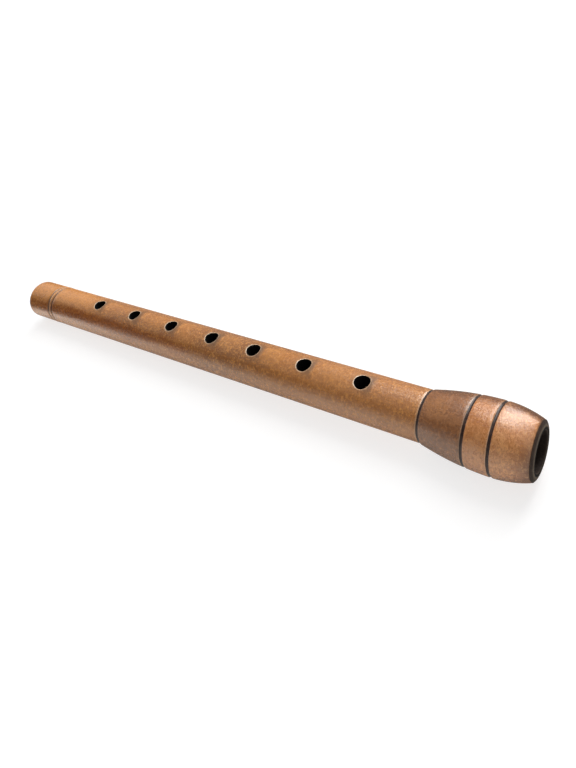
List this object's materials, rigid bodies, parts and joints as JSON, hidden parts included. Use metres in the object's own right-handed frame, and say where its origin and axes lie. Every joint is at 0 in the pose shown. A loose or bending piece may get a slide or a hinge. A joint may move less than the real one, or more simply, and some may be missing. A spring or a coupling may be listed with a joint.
{
  "type": "mey",
  "caption": "Wooden body of a mey: straight bored tube with finger and thumb holes, and a swollen head with dark rings round an empty reed socket.",
  "frame": {"origin": "centre of the bounding box, on the bore's axis halfway along the instrument", "axes": "+X along the bore from the foot to the mouth, +Z out of the finger holes, thumb hole facing -Z"},
  "size_m": [0.3112, 0.0294, 0.0294],
  "materials": {
    "tube_wood": "satin oiled orange-brown fruitwood, grain along the bore",
    "cone_wood": "satin oiled darker brown fruitwood",
    "band_wood": "satin oiled mottled orange-brown fruitwood",
    "dome_wood": "polished warm brown fruitwood",
    "ring_black": "polished black horn-like ring",
    "bush_dark": "dark grey-brown horn-like bush, worn satin on its face"
  },
  "bodies": {
    "root": {"body_tube": "tube_wood", "lower_ring": "ring_black", "head_cone": "cone_wood", "middle_ring": "ring_black", "head_band": "band_wood", "upper_ring": "ring_black", "head_dome": "dome_wood", "mouth_bush": "bush_dark"}
  },
  "joints": []
}
